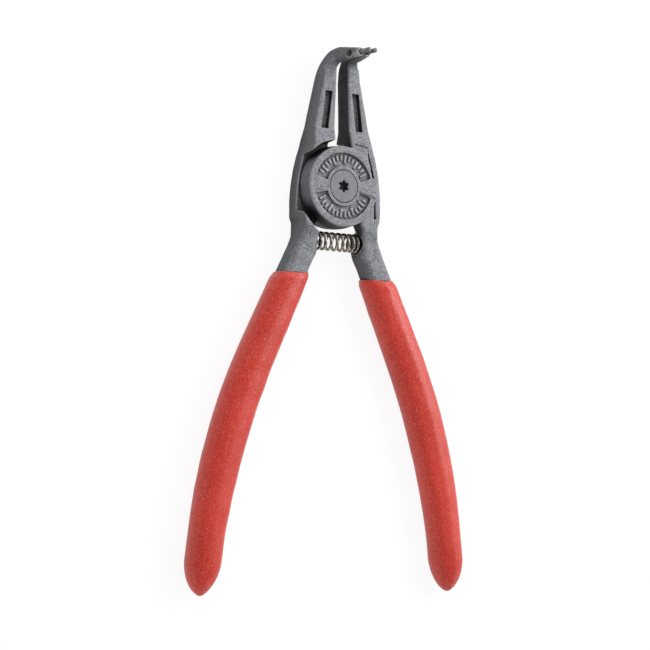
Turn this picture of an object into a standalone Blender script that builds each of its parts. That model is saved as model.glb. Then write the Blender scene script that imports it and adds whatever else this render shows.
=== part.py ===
"""Circlip pliers for rings on shafts, with noses bent at right angles.

Squeezing the handles spreads the noses, because the two levers lap at the
pivot without crossing. The tool lies on its back: X runs across it, Y runs
from the handles to the noses and Z points up through the pivot. The origin
is on the pivot axis, level with the back of the joint.
"""

import math

import bmesh
import bpy
from mathutils import Vector

MM = 0.001

# Lap joint
JOINT_THICKNESS = 9.6 * MM
LAP_GAP = 0.3 * MM
DISC_RADIUS = 12.1 * MM
DISC_DRAFT = 0.4 * MM
DISC_RISE = 0.12 * MM
POCKET_SHIFT = (0.8 * MM, -0.9 * MM)
POCKET_CLEARANCE = 0.7 * MM
POCKET_RADIUS = DISC_RADIUS + DISC_DRAFT + POCKET_CLEARANCE + math.hypot(*POCKET_SHIFT)
POCKET_DRAFT = 0.7 * MM
BOSS_RADIUS = 6.0 * MM
RING_WIDTH = 2.0 * MM
DISC_EDGE = 0.25 * MM
RECESS_DEPTH = 0.8 * MM
LAND_DIRECTIONS = (1.5, 180.5)
LAND_ANGLE = 32.0
GROOVE_DEPTH = 0.8 * MM
GROOVE_WIDTH = 0.85 * MM
UPPER_GROOVE = ((8.1 * MM, 12.2 * MM), (10.1 * MM, 3.2 * MM))
LOWER_GROOVE = ((11.1 * MM, -2.6 * MM), (11.0 * MM, -9.0 * MM))

# Flank of each lever, beside the joint
FLANK_REACH = 13.6 * MM
FLANK_WIDEST_Y = -7.3 * MM
FLANK_RADIUS = 62.0 * MM
FLANK_CORNER = 0.9 * MM
WAIST_Y = -11.7 * MM
WAIST_REACH = 12.85 * MM
SECTION_RUN = 2.6 * MM

# Jaws
JAW_ROOT_Y = 15.3 * MM
JAW_ROOT_INNER = 2.6 * MM
JAW_ROOT_OUTER = 10.0 * MM
JAW_ROOT_THICKNESS = 7.8 * MM
JAW_THICKNESS = 6.4 * MM
JAW_CORNER = 0.6 * MM
BEND_Y = 32.4 * MM
BEND_INNER = 1.9 * MM
BEND_OUTER = 6.5 * MM
BEND_BACK_RADIUS = 9.0 * MM
BEND_FRONT_RADIUS = 1.9 * MM
BEND_FRONT_LAG = 3.0 * MM
SLOT_LENGTH = 11.4 * MM
SLOT_WIDTH = 2.5 * MM
SLOT_DEPTH = 1.7 * MM
SLOT_Y = 22.8 * MM

# Noses
NOSE_HEIGHT = 14.7 * MM
NOSE_ROOT_OUTER = 4.1 * MM
NOSE_END_OUTER = 2.0 * MM
NOSE_END_DEPTH = 2.5 * MM
NOSE_GAP = 0.3 * MM
PIN_DIAMETER = 1.4 * MM
PIN_STANDOUT = 4.2 * MM
PIN_SEAT_DEPTH = 3.0 * MM
PIN_SPREAD = 2.2 * MM
STAKE_RADIUS = 0.7 * MM
STAKE_DEPTH = 0.6 * MM
STAKE_FROM_END = 4.0 * MM

# Handles
HANDLE_ROOT_Y = -19.4 * MM
HANDLE_ROOT_REACH = 11.7 * MM
HANDLE_ANGLE = 25.0
HANDLE_STRAIGHT = 33.0 * MM
HANDLE_BOW_RADIUS = 192.0 * MM
HANDLE_THICKNESS = 7.0 * MM
NECK_Y = -20.5 * MM
NECK_WIDTH = 8.3 * MM
HANDLE_CORNER = 2.6 * MM
HANDLE_END_Y = -115.5 * MM

# Dipped sleeves
GRIP_TOP_Y = -27.5 * MM
LEFT_GRIP_EXTRA = 2.5 * MM
GRIP_END_Y = -120.8 * MM
GRIP_TOP_WIDTH = 11.6 * MM
GRIP_PALM_Y = -56.3 * MM
GRIP_PALM_WIDTH = 12.8 * MM
GRIP_TAIL_Y = -103.3 * MM
GRIP_TAIL_WIDTH = 10.7 * MM
GRIP_WALL = 1.2 * MM
GRIP_LIP = 0.35 * MM
GRIP_CORNER = 3.7 * MM
GRIP_POINT_LENGTH = 10.5 * MM
FIT_GAP = 0.25 * MM

# Pivot screw
SCREW_HEAD_RADIUS = 4.9 * MM
SCREW_HEAD_THICKNESS = 2.2 * MM
SCREW_SHANK_RADIUS = 3.2 * MM
SCREW_CLEARANCE = 0.1 * MM
STAR_RADIUS = 1.87 * MM
STAR_LOBE = 0.27 * MM
STAR_DEPTH = 1.7 * MM

# Return spring
SPRING_OUTER_RADIUS = 2.9 * MM
SPRING_CLEARANCE = 0.9 * MM
SPRING_Y = -(DISC_RADIUS + DISC_DRAFT + SPRING_CLEARANCE + SPRING_OUTER_RADIUS)
SPRING_WIRE = 0.8 * MM
SPRING_TURNS = 8.0
SPRING_END_GAP = 0.3 * MM
NECK_INNER = 7.4 * MM
SOCKET_DEPTH = 1.5 * MM
SOCKET_CLEARANCE = 0.35 * MM
SPRING_SEAT = NECK_INNER + SOCKET_DEPTH
PEG_LENGTH = 2.4 * MM
PEG_CLEARANCE = 0.3 * MM

MIDDLE = JOINT_THICKNESS / 2
RIGHT, LEFT = 1, -1
SIDE_NAMES = {RIGHT: "right", LEFT: "left"}


def metal(name, colour, roughness, metallic):
    """A Principled material in one finish."""
    material = bpy.data.materials.new(name)
    material.use_nodes = True
    shader = material.node_tree.nodes["Principled BSDF"]
    shader.inputs["Base Color"].default_value = (*colour, 1.0)
    shader.inputs["Roughness"].default_value = roughness
    shader.inputs["Metallic"].default_value = metallic
    material.diffuse_color = (*colour, 1.0)
    return material


def through(points, at):
    """Height at `at` of a smooth curve through (x, height) points that never overshoots them."""
    points = sorted(points)
    if at <= points[0][0]:
        return points[0][1]
    if at >= points[-1][0]:
        return points[-1][1]
    rises = [(b[1] - a[1]) / (b[0] - a[0]) for a, b in zip(points, points[1:])]
    slopes = [rises[0]]
    for before, after in zip(rises, rises[1:]):
        same_way = before * after > 0
        slopes.append(2 * before * after / (before + after) if same_way else 0.0)
    slopes.append(rises[-1])
    i = max(k for k in range(len(rises)) if points[k][0] <= at)
    (x0, h0), (x1, h1) = points[i], points[i + 1]
    width = x1 - x0
    t = (at - x0) / width
    bend_0 = (1 + 2 * t) * (1 - t) ** 2
    bend_1 = t * t * (3 - 2 * t)
    lean = t * (1 - t) ** 2 * slopes[i] - t * t * (1 - t) * slopes[i + 1]
    return h0 * bend_0 + h1 * bend_1 + width * lean


def steps_between(start, end, count):
    """`count` equal steps from start to end, both included."""
    return [start + (end - start) * i / count for i in range(count + 1)]


def rounded_ring(middle, across, up, half_width, half_height, corner, per_corner=4):
    """A rounded rectangle round `middle`, as points in order."""
    corner = min(corner, half_width * 0.98, half_height * 0.98)
    points = []
    for sign_x, sign_y, start in ((1, 1, 0), (-1, 1, 90), (-1, -1, 180), (1, -1, 270)):
        centre_x = sign_x * (half_width - corner)
        centre_y = sign_y * (half_height - corner)
        for i in range(per_corner + 1):
            angle = math.radians(start + 90 * i / per_corner)
            x = centre_x + corner * math.cos(angle)
            y = centre_y + corner * math.sin(angle)
            points.append(middle + across * x + up * y)
    return points


def skin(name, rings):
    """A closed body through rings of equal count, with both ends capped."""
    mesh = bmesh.new()
    rows = [[mesh.verts.new(point) for point in ring] for ring in rings]
    for lower, upper in zip(rows, rows[1:]):
        for i in range(len(lower)):
            j = (i + 1) % len(lower)
            mesh.faces.new((lower[i], lower[j], upper[j], upper[i]))
    mesh.faces.new(rows[0])
    mesh.faces.new(rows[-1])
    bmesh.ops.recalc_face_normals(mesh, faces=mesh.faces)
    return as_object(name, mesh)


def as_object(name, mesh):
    data = bpy.data.meshes.new(name)
    mesh.to_mesh(data)
    mesh.free()
    thing = bpy.data.objects.new(name, data)
    bpy.context.scene.collection.objects.link(thing)
    return thing


def turned(name, profile, segments=48):
    """A body turned round Z from (radius, height) points, closed at both ends."""
    rings = []
    for radius, height in profile:
        ring = []
        for i in range(segments):
            angle = math.tau * i / segments
            ring.append(Vector((radius * math.cos(angle), radius * math.sin(angle), height)))
        rings.append(ring)
    return skin(name, rings)


def helper(thing):
    """Marks a body that only cuts or joins another."""
    thing.hide_render = True
    thing.display_type = "WIRE"
    return thing


def combine(thing, other, operation):
    helper(other)
    modifier = thing.modifiers.new(f"{operation.lower()} {other.name}", "BOOLEAN")
    modifier.operation = operation
    modifier.solver = "EXACT"
    modifier.object = other


def finish(thing, material, sharp_degrees=32):
    thing.data.materials.append(material)
    thing.data.shade_smooth()
    thing.data.set_sharp_from_angle(angle=math.radians(sharp_degrees))


def handle_line(y):
    """Distance of a handle's centre line from the middle line of the tool."""
    lean = math.radians(HANDLE_ANGLE)
    down = HANDLE_ROOT_Y - y
    bow_starts = HANDLE_STRAIGHT * math.cos(lean)
    if down <= bow_starts:
        return HANDLE_ROOT_REACH + down * math.tan(lean)
    sine = math.sin(lean) - (down - bow_starts) / HANDLE_BOW_RADIUS
    bowed = HANDLE_BOW_RADIUS * (math.sqrt(1 - sine * sine) - math.cos(lean))
    return HANDLE_ROOT_REACH + HANDLE_STRAIGHT * math.sin(lean) + bowed


def grip_half_width(y):
    widths = (
        (GRIP_TAIL_Y, GRIP_TAIL_WIDTH / 2),
        (GRIP_PALM_Y, GRIP_PALM_WIDTH / 2),
        (GRIP_TOP_Y, GRIP_TOP_WIDTH / 2),
    )
    return through(widths, y)


def grip_half_thickness():
    return HANDLE_THICKNESS / 2 + GRIP_WALL


def grip_top(side):
    """Where a sleeve ends below the joint: the left handle was dipped a little deeper."""
    return GRIP_TOP_Y if side == RIGHT else GRIP_TOP_Y + LEFT_GRIP_EXTRA


def handle_half_width(y):
    """Half the width of the steel: the sleeve less its wall, narrowing to the neck under the joint."""
    if y <= GRIP_TOP_Y:
        return grip_half_width(y) - GRIP_WALL
    at_sleeve = grip_half_width(GRIP_TOP_Y) - GRIP_WALL
    return through([(NECK_Y, NECK_WIDTH / 2), (GRIP_TOP_Y, at_sleeve)], y)


def flank_reach(y):
    """Outer edge of a lever beside the joint: one long arc."""
    rise = y - FLANK_WIDEST_Y
    return FLANK_REACH - FLANK_RADIUS + math.sqrt(FLANK_RADIUS**2 - rise**2)


def outer_edge(y):
    """Outer edge of a lever in plan, from the handle to the foot of the bend."""
    handle_top = WAIST_Y - SECTION_RUN
    on_handle = (GRIP_TOP_Y, NECK_Y, handle_top)
    edge = [(at, handle_line(at) + handle_half_width(at)) for at in on_handle]
    edge.append((WAIST_Y, WAIST_REACH))
    flank = steps_between(FLANK_WIDEST_Y - 2.0 * MM, JAW_ROOT_Y - SECTION_RUN, 5)
    edge += [(at, flank_reach(at)) for at in flank]
    edge.append((JAW_ROOT_Y, JAW_ROOT_OUTER))
    edge.append((BEND_Y, BEND_OUTER))
    return through(edge, y)


def inner_edge(y):
    """Inner edge of a lever in plan. Inside the joint the disc covers it."""
    on_handle = (GRIP_TOP_Y, (GRIP_TOP_Y + NECK_Y) / 2)
    edge = [(at, handle_line(at) - handle_half_width(at)) for at in on_handle]
    edge += [
        (SPRING_Y - SPRING_OUTER_RADIUS, NECK_INNER),
        (SPRING_Y + SPRING_OUTER_RADIUS, NECK_INNER),
        (WAIST_Y + 2.0 * MM, BOSS_RADIUS),
        (DISC_RADIUS / 2, BOSS_RADIUS),
        (DISC_RADIUS - 0.8 * MM, JAW_ROOT_INNER + 0.2 * MM),
        (JAW_ROOT_Y, JAW_ROOT_INNER),
        (BEND_Y, BEND_INNER),
    ]
    return through(edge, y)


def half_thickness(y):
    joint = MIDDLE - DISC_RISE
    heights = [
        (GRIP_TOP_Y, HANDLE_THICKNESS / 2),
        (SPRING_Y, HANDLE_THICKNESS / 2 + 0.4 * MM),
        (WAIST_Y, joint),
        (DISC_RADIUS, joint),
        (JAW_ROOT_Y, JAW_ROOT_THICKNESS / 2),
        (JAW_ROOT_Y + SECTION_RUN, JAW_THICKNESS / 2),
        (BEND_Y, JAW_THICKNESS / 2 - 0.15 * MM),
    ]
    return through(heights, y)


def corner_radius(y):
    corners = [
        (GRIP_TOP_Y, HANDLE_CORNER),
        (SPRING_Y, HANDLE_CORNER * 0.8),
        (WAIST_Y, FLANK_CORNER),
        (JAW_ROOT_Y, JAW_CORNER),
        (BEND_Y, JAW_CORNER),
    ]
    return through(corners, y)


def lever_rings(side):
    """Sections of one forged lever, from the end of its handle to the end of its nose."""
    across = Vector((side, 0, 0))
    up = Vector((0, 0, 1))
    rings = []
    for y in steps_between(HANDLE_END_Y, GRIP_TOP_Y, 20):
        middle = Vector((side * handle_line(y), y, MIDDLE))
        half = handle_half_width(y)
        if y == HANDLE_END_Y:
            half -= 1.2 * MM
        rings.append(rounded_ring(middle, across, up, half, HANDLE_THICKNESS / 2, HANDLE_CORNER))
    for y in steps_between(GRIP_TOP_Y, BEND_Y, 44)[1:]:
        inner, outer = inner_edge(y), outer_edge(y)
        middle = Vector((side * (inner + outer) / 2, y, MIDDLE))
        half = (outer - inner) / 2
        rings.append(rounded_ring(middle, across, up, half, half_thickness(y), corner_radius(y)))
    return rings + bend_rings(side) + nose_rings(side)


def bend_frame():
    """Middle of the bend's back radius and of its front radius, in Y and Z."""
    half = JAW_THICKNESS / 2 - 0.15 * MM
    back = Vector((0, BEND_Y, MIDDLE - half + BEND_BACK_RADIUS))
    front = Vector((0, BEND_Y + BEND_FRONT_LAG, MIDDLE + half + BEND_FRONT_RADIUS))
    return back, front


def nose_levels():
    """Height of the foot of the nose, and the Y of its top and under faces there."""
    back, front = bend_frame()
    return max(back.z, front.z), back.y + BEND_BACK_RADIUS, front.y + BEND_FRONT_RADIUS


def bend_rings(side):
    back, front = bend_frame()
    rings = []
    for turn in steps_between(0, 90, 9)[1:]:
        angle = math.radians(turn)
        swing = Vector((0, math.sin(angle), -math.cos(angle)))
        outside = back + swing * BEND_BACK_RADIUS
        inside = front + swing * BEND_FRONT_RADIUS
        share = turn / 90
        inner = BEND_INNER + (NOSE_GAP / 2 + 0.5 * MM - BEND_INNER) * share
        outer = BEND_OUTER + (NOSE_ROOT_OUTER - BEND_OUTER) * share
        rings.append(crosswise_ring(side, inside, outside, inner, outer))
    return rings


def crosswise_ring(side, inside, outside, inner, outer):
    """A section across the bend or the nose, between its under face and its top face."""
    depth = outside - inside
    middle = (inside + outside) / 2 + Vector((side * (inner + outer) / 2, 0, 0))
    across = Vector((side, 0, 0))
    corner = min(JAW_CORNER * 1.6, depth.length / 3)
    return rounded_ring(middle, across, -depth.normalized(), (outer - inner) / 2, depth.length / 2, corner)


def nose_rings(side):
    foot_z, top_y, under_y = nose_levels()
    end_z = MIDDLE + NOSE_HEIGHT
    end_under_y = under_y + 0.3 * MM
    rings = []
    for share in steps_between(0, 1, 5)[1:]:
        z = foot_z + (end_z - foot_z) * share
        top = top_y + (end_under_y + NOSE_END_DEPTH - top_y) * share
        under = under_y + (end_under_y - under_y) * share
        inner = NOSE_GAP / 2 + 0.5 * MM * (1 - share) ** 2
        outer = NOSE_ROOT_OUTER + (NOSE_END_OUTER - NOSE_ROOT_OUTER) * share
        rings.append(crosswise_ring(side, Vector((0, under, z)), Vector((0, top, z)), inner, outer))
    return rings


def arc_sector(name, inner, outer, start, end, low, high):
    """A sector of a ring, standing from low to high, between two directions in degrees."""
    edge = [(outer, angle) for angle in steps_between(start, end, 14)]
    edge += [(inner, angle) for angle in steps_between(end, start, 10)]
    polar = [(radius, math.radians(angle)) for radius, angle in edge]
    outline = [(radius * math.cos(angle), radius * math.sin(angle)) for radius, angle in polar]
    return prism(name, outline, low, high)


def prism(name, outline, low, high):
    """A flat outline raised from low to high."""
    mesh = bmesh.new()
    face = mesh.faces.new([mesh.verts.new((x, y, low)) for x, y in outline])
    raised = bmesh.ops.extrude_face_region(mesh, geom=[face])["geom"]
    lifted = [item for item in raised if isinstance(item, bmesh.types.BMVert)]
    bmesh.ops.translate(mesh, verts=lifted, vec=(0, 0, high - low))
    bmesh.ops.recalc_face_normals(mesh, faces=mesh.faces)
    return as_object(name, mesh)


def groove(name, top, bottom):
    """A tapered groove in the front of the joint, between the disc and the flank."""
    outline = [
        (top[0], top[1]),
        (top[0] + GROOVE_WIDTH / 3, top[1]),
        (bottom[0] + GROOVE_WIDTH, bottom[1]),
        (bottom[0], bottom[1]),
    ]
    return prism(name, outline, JOINT_THICKNESS - GROOVE_DEPTH, JOINT_THICKNESS + 1.0 * MM)


def disc_and_pocket(lever, side):
    """Adds the lever's half of the lap joint and clears room for the other half."""
    outward = side
    face = MIDDLE + outward * MIDDLE
    lap = MIDDLE + outward * LAP_GAP / 2
    root = MIDDLE - outward * 1.0 * MM
    foot = DISC_RADIUS + DISC_DRAFT
    rim = DISC_RADIUS - DISC_EDGE
    shoulder = face - outward * DISC_EDGE
    disc = turned(f"{lever.name}_disc", [(foot, root), (foot, lap), (DISC_RADIUS, shoulder), (rim, face)], 72)
    combine(lever, disc, "UNION")
    beyond = MIDDLE - outward * (MIDDLE + 2.0 * MM)
    wall = [(POCKET_RADIUS, lap), (POCKET_RADIUS + POCKET_DRAFT, beyond)]
    pocket = turned(f"{lever.name}_pocket", wall, 72)
    pocket.location = (side * POCKET_SHIFT[0], POCKET_SHIFT[1], 0)
    combine(lever, pocket, "DIFFERENCE")


def make_right_lever(material):
    lever = skin("right_lever", lever_rings(RIGHT))
    disc_and_pocket(lever, RIGHT)
    floor = JOINT_THICKNESS - RECESS_DEPTH
    above = JOINT_THICKNESS + 1.0 * MM
    for index, land in enumerate(LAND_DIRECTIONS):
        start = land + LAND_ANGLE / 2
        end = land + 180.0 - LAND_ANGLE / 2
        sector = arc_sector(f"recess_{index}", BOSS_RADIUS, DISC_RADIUS - RING_WIDTH, start, end, floor, above)
        combine(lever, sector, "DIFFERENCE")
    combine(lever, groove("upper_groove", *UPPER_GROOVE), "DIFFERENCE")
    combine(lever, groove("lower_groove", *LOWER_GROOVE), "DIFFERENCE")
    head_seat = JOINT_THICKNESS - SCREW_HEAD_THICKNESS - SCREW_CLEARANCE
    head_bore = SCREW_HEAD_RADIUS + SCREW_CLEARANCE
    shank_bore = SCREW_SHANK_RADIUS + SCREW_CLEARANCE
    stepped = [(shank_bore, 0), (shank_bore, head_seat), (head_bore, head_seat), (head_bore, above)]
    bore = turned("right_bore", stepped)
    combine(lever, bore, "DIFFERENCE")
    lever_details(lever, RIGHT)
    finish(lever, material)
    return lever


def make_left_lever(material):
    lever = skin("left_lever", lever_rings(LEFT))
    disc_and_pocket(lever, LEFT)
    thread_bore = SCREW_SHANK_RADIUS + SCREW_CLEARANCE
    bore = turned("left_bore", [(thread_bore, -1.0 * MM), (thread_bore, JOINT_THICKNESS)])
    combine(lever, bore, "DIFFERENCE")
    lever_details(lever, LEFT)
    finish(lever, material)
    return lever


def lever_details(lever, side):
    """Jaw slot, stake mark, pin hole, and the socket and peg of the spring."""
    combine(lever, jaw_slot(side), "DIFFERENCE")
    combine(lever, stake_mark(side), "DIFFERENCE")
    hole_radius = PIN_DIAMETER / 2 + FIT_GAP / 2
    hole = turned(f"{lever.name}_pin_hole", [(hole_radius, -PIN_SEAT_DEPTH), (hole_radius, 1.0 * MM)], 20)
    hole.location = pin_foot(side)
    combine(lever, hole, "DIFFERENCE")
    peg_radius = SPRING_OUTER_RADIUS - SPRING_WIRE - PEG_CLEARANCE
    edge = 0.4 * MM
    profile = [(peg_radius, -2.0 * MM), (peg_radius, PEG_LENGTH - edge), (peg_radius - edge, PEG_LENGTH)]
    peg = turned(f"{lever.name}_peg", profile, 24)
    socket_radius = SPRING_OUTER_RADIUS + SOCKET_CLEARANCE
    wall = [(socket_radius, 0), (socket_radius, SOCKET_DEPTH + 2.0 * MM)]
    socket = turned(f"{lever.name}_socket", wall, 32)
    for thing, operation in ((socket, "DIFFERENCE"), (peg, "UNION")):
        thing.rotation_euler = (0, math.radians(-90 * side), 0)
        thing.location = (side * SPRING_SEAT, SPRING_Y, MIDDLE)
        combine(lever, thing, operation)


def pin_foot(side):
    """Middle of a nose's end face, where its pin comes out."""
    _, _, under_y = nose_levels()
    return Vector((side * PIN_SPREAD / 2, under_y + 0.3 * MM + NOSE_END_DEPTH / 2, MIDDLE + NOSE_HEIGHT))


def stake_mark(side):
    """The round dent punched into the outer side of a nose to hold its pin."""
    foot_z, _, _ = nose_levels()
    foot = pin_foot(side)
    share = (foot.z - STAKE_FROM_END - foot_z) / (foot.z - foot_z)
    outer = NOSE_ROOT_OUTER + (NOSE_END_OUTER - NOSE_ROOT_OUTER) * share
    profile = [(STAKE_RADIUS * 0.6, -STAKE_DEPTH), (STAKE_RADIUS, 0), (STAKE_RADIUS, 1.0 * MM)]
    mark = turned(f"{SIDE_NAMES[side]}_stake_mark", profile, 20)
    mark.rotation_euler = (0, math.radians(90 * side), 0)
    mark.location = (side * outer, foot.y, foot.z - STAKE_FROM_END)
    return mark


def jaw_slot(side):
    """The sunk panel in the front of each jaw, which leans with the jaw."""
    bottom, top = SLOT_Y - SLOT_LENGTH / 2, SLOT_Y + SLOT_LENGTH / 2
    floor = MIDDLE + half_thickness(SLOT_Y) - SLOT_DEPTH
    corners = []
    for y in (bottom, top):
        middle = (inner_edge(y) + outer_edge(y)) / 2
        corners.append((middle - SLOT_WIDTH / 2, y))
        corners.append((middle + SLOT_WIDTH / 2, y))
    outline = [(side * x, y) for x, y in (corners[0], corners[1], corners[3], corners[2])]
    return prism(f"{SIDE_NAMES[side]}_jaw_slot", outline, floor, floor + SLOT_DEPTH + 1.0 * MM)


def make_pivot_screw(material):
    head_foot = JOINT_THICKNESS - SCREW_HEAD_THICKNESS
    face = JOINT_THICKNESS
    profile = [
        (SCREW_SHANK_RADIUS - 0.3 * MM, 0),
        (SCREW_SHANK_RADIUS, 0.3 * MM),
        (SCREW_SHANK_RADIUS, head_foot),
        (SCREW_HEAD_RADIUS, head_foot),
        (SCREW_HEAD_RADIUS, face - 0.2 * MM),
        (SCREW_HEAD_RADIUS - 0.2 * MM, face),
    ]
    screw = turned("pivot_screw", profile)
    rings = []
    for z in (face - STAR_DEPTH, face + 1.0 * MM):
        ring = []
        for i in range(36):
            angle = math.tau * i / 36
            radius = STAR_RADIUS - STAR_LOBE * (1 - math.cos(6 * (angle - math.pi / 2)))
            ring.append(Vector((radius * math.cos(angle), radius * math.sin(angle), z)))
        rings.append(ring)
    combine(screw, skin("star_socket", rings), "DIFFERENCE")
    finish(screw, material)
    return screw


def make_pin(side, material):
    radius = PIN_DIAMETER / 2
    bottom = FIT_GAP - PIN_SEAT_DEPTH
    edge = 0.3 * MM
    name = f"{SIDE_NAMES[side]}_tip_pin"
    profile = [(radius, bottom), (radius, PIN_STANDOUT - edge), (radius - edge, PIN_STANDOUT)]
    pin = turned(name, profile, 20)
    pin.location = pin_foot(side)
    finish(pin, material)
    return pin


def make_return_spring(material):
    """A compression spring on the two pegs, its end turns closed up."""
    per_turn, sides = 16, 6
    coil = SPRING_OUTER_RADIUS - SPRING_WIRE / 2
    length = 2 * (SPRING_SEAT - SPRING_END_GAP) - SPRING_WIRE
    rings = []
    count = int(SPRING_TURNS * per_turn)
    for i in range(count + 1):
        turn = i / per_turn
        closed = 0.35 * math.sin(math.tau * i / count) / math.tau
        x = -length / 2 + length * (i / count - closed)
        angle = math.tau * turn
        outward = Vector((0, math.cos(angle), math.sin(angle)))
        middle = Vector((x, SPRING_Y, MIDDLE)) + outward * coil
        ring = []
        for k in range(sides):
            around = math.tau * k / sides
            direction = outward * math.cos(around) + Vector((1, 0, 0)) * math.sin(around)
            ring.append(middle + direction * SPRING_WIRE / 2)
        rings.append(ring)
    spring = skin("return_spring", rings)
    finish(spring, material, 70)
    return spring


def make_grip(side, material):
    """A dipped sleeve with a pointed end, open at the top where the handle goes in."""
    across = Vector((side, 0, 0))
    up = Vector((0, 0, 1))
    outside = []
    tail_y = GRIP_END_Y + GRIP_POINT_LENGTH
    for share in steps_between(0, 1, 6)[:-1]:
        swell = math.sin(math.pi / 2 * (0.12 + 0.88 * share)) ** 0.8
        y = GRIP_END_Y + GRIP_POINT_LENGTH * share
        middle = Vector((side * handle_line(y), y, MIDDLE))
        width = grip_half_width(y) * swell
        depth = grip_half_thickness() * swell
        outside.append(rounded_ring(middle, across, up, width, depth, GRIP_CORNER))
    top_y = grip_top(side)
    for y in steps_between(tail_y, top_y, 20):
        middle = Vector((side * handle_line(y), y, MIDDLE))
        lip = GRIP_LIP if y == top_y else 0.0
        width = grip_half_width(y) - lip
        outside.append(rounded_ring(middle, across, up, width, grip_half_thickness() - lip, GRIP_CORNER))
    inside = []
    for y in steps_between(top_y, HANDLE_END_Y - FIT_GAP, 20):
        middle = Vector((side * handle_line(y), y, MIDDLE))
        width = handle_half_width(y) + FIT_GAP
        depth = HANDLE_THICKNESS / 2 + FIT_GAP
        inside.append(rounded_ring(middle, across, up, width, depth, HANDLE_CORNER + FIT_GAP))
    grip = skin(f"{SIDE_NAMES[side]}_grip", outside + inside)
    finish(grip, material, 60)
    return grip


for old in list(bpy.data.objects):
    bpy.data.objects.remove(old, do_unlink=True)

forged_steel = metal("forged_steel", (0.17, 0.17, 0.18), 0.55, 0.7)
screw_steel = metal("screw_steel", (0.2, 0.2, 0.21), 0.5, 0.8)
spring_steel = metal("spring_steel", (0.5, 0.48, 0.42), 0.28, 1.0)
pin_steel = metal("pin_steel", (0.2, 0.2, 0.2), 0.35, 1.0)
dipped_vinyl = metal("dipped_vinyl", (0.6, 0.04, 0.035), 0.45, 0.0)

pivot = bpy.data.objects.new("lever_pivot", None)
bpy.context.scene.collection.objects.link(pivot)

right_lever = make_right_lever(forged_steel)
left_lever = make_left_lever(forged_steel)
left_lever.parent = pivot
for thing in (make_pivot_screw(screw_steel), make_pin(LEFT, pin_steel), make_grip(LEFT, dipped_vinyl)):
    thing.parent = left_lever
for thing in (make_pin(RIGHT, pin_steel), make_grip(RIGHT, dipped_vinyl), make_return_spring(spring_steel)):
    thing.parent = right_lever
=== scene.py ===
import math

import bmesh
import bpy
import numpy as np
from mathutils import Matrix, Vector


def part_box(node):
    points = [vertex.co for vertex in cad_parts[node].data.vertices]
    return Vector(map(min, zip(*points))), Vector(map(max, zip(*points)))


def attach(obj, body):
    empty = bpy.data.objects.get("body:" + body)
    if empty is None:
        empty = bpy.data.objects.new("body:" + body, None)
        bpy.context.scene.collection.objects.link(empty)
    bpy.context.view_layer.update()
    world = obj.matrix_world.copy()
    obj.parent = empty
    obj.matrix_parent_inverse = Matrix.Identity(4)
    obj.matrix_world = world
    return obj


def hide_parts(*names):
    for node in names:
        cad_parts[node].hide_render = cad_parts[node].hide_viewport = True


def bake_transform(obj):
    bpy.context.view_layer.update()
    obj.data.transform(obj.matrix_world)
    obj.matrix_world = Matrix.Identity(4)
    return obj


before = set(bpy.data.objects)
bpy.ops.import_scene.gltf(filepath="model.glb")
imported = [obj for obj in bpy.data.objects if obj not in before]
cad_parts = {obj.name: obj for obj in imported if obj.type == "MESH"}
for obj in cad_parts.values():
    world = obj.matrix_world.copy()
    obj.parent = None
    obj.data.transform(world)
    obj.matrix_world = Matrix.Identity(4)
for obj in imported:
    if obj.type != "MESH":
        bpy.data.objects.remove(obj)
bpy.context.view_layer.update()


# Forged steel of both levers. It is one grade, drop forged, trimmed, shot blasted to
# an even grey grain and phosphated. Handling rubs its edges bright, and they carry a
# painted highlight too; the places that are closed in are darkened with painted shade.

MM = 0.001
EDGE_WEAR_AND_LIGHT = "edge_wear_and_painted_light"

STEEL_GREY = (0.315, 0.32, 0.345, 1)
STEEL_SHADE = (0.20, 0.203, 0.222, 1)
STEEL_FLECK = (0.56, 0.57, 0.60, 1)
# Dark colour of the grain's pits and turned lines, also used as painted shade.
STEEL_DARK_MARKS_AND_SHADE = (0.013, 0.013, 0.015, 1)
# Rubbed steel, also used as the painted highlight on edges and nose ends.
STEEL_RUBBED_AND_HIGHLIT = (0.66, 0.665, 0.68, 1)
# Painted shade for the steep sides.
STEEL_SIDE_SHADE = (0.084, 0.085, 0.093, 1)
STEEL_METALLIC, STEEL_SPECULAR = 0.25, 0.34

# Size of the lumps, how finely they break up, and how strongly.
STEEL_GRAIN = (0.38 * MM, 3.0, 0.62)
STEEL_MOTTLE = (2.6 * MM, 5.0, 0.6)
STEEL_CLOUD = (14.0 * MM, 3.0)
GRAIN_RELIEF, MOTTLE_RELIEF = 0.035 * MM, 0.05 * MM

# From, to, and the result at each where it isn't 0 and 1.
LIGHT_MOTTLE = (0.36, 0.64)
GRAIN_FLECKS = (0.54, 0.66, 0.0, 0.85)
GRAIN_PITS = (0.47, 0.34, 0.0, 0.66)
DARK_CLOUDS = (0.35, 0.65, 0.0, 0.16)
ROUGH_MOTTLE = (0.3, 0.7, 0.5, 0.66)
STEEP_SIDES = (0.9, 0.2)
SIDE_SHADE_SHARE = (0, 1, 0, 0.68)
LEVEL_FLOORS = (0.3, 0.0)
FLOORS_END_Y = (18.0 * MM, 14.0 * MM)
EDGE_RUBBING_AND_HIGHLIGHT, EDGE_PATCHES = (0.2, 0.8, 0.0, 0.72), (0.3, 0.6, 0.4, 1.0)
NOSE_RUBBING_AND_HIGHLIGHT_Z, NOSE_PATCHES = (15.5 * MM, 19.0 * MM), (0.46, 0.62, 0.0, 0.6)
DENT_SHADE = (-0.2, -0.9, 0.0, 0.65)
UNSHADED_BACK = (-0.9, -0.6)

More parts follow.
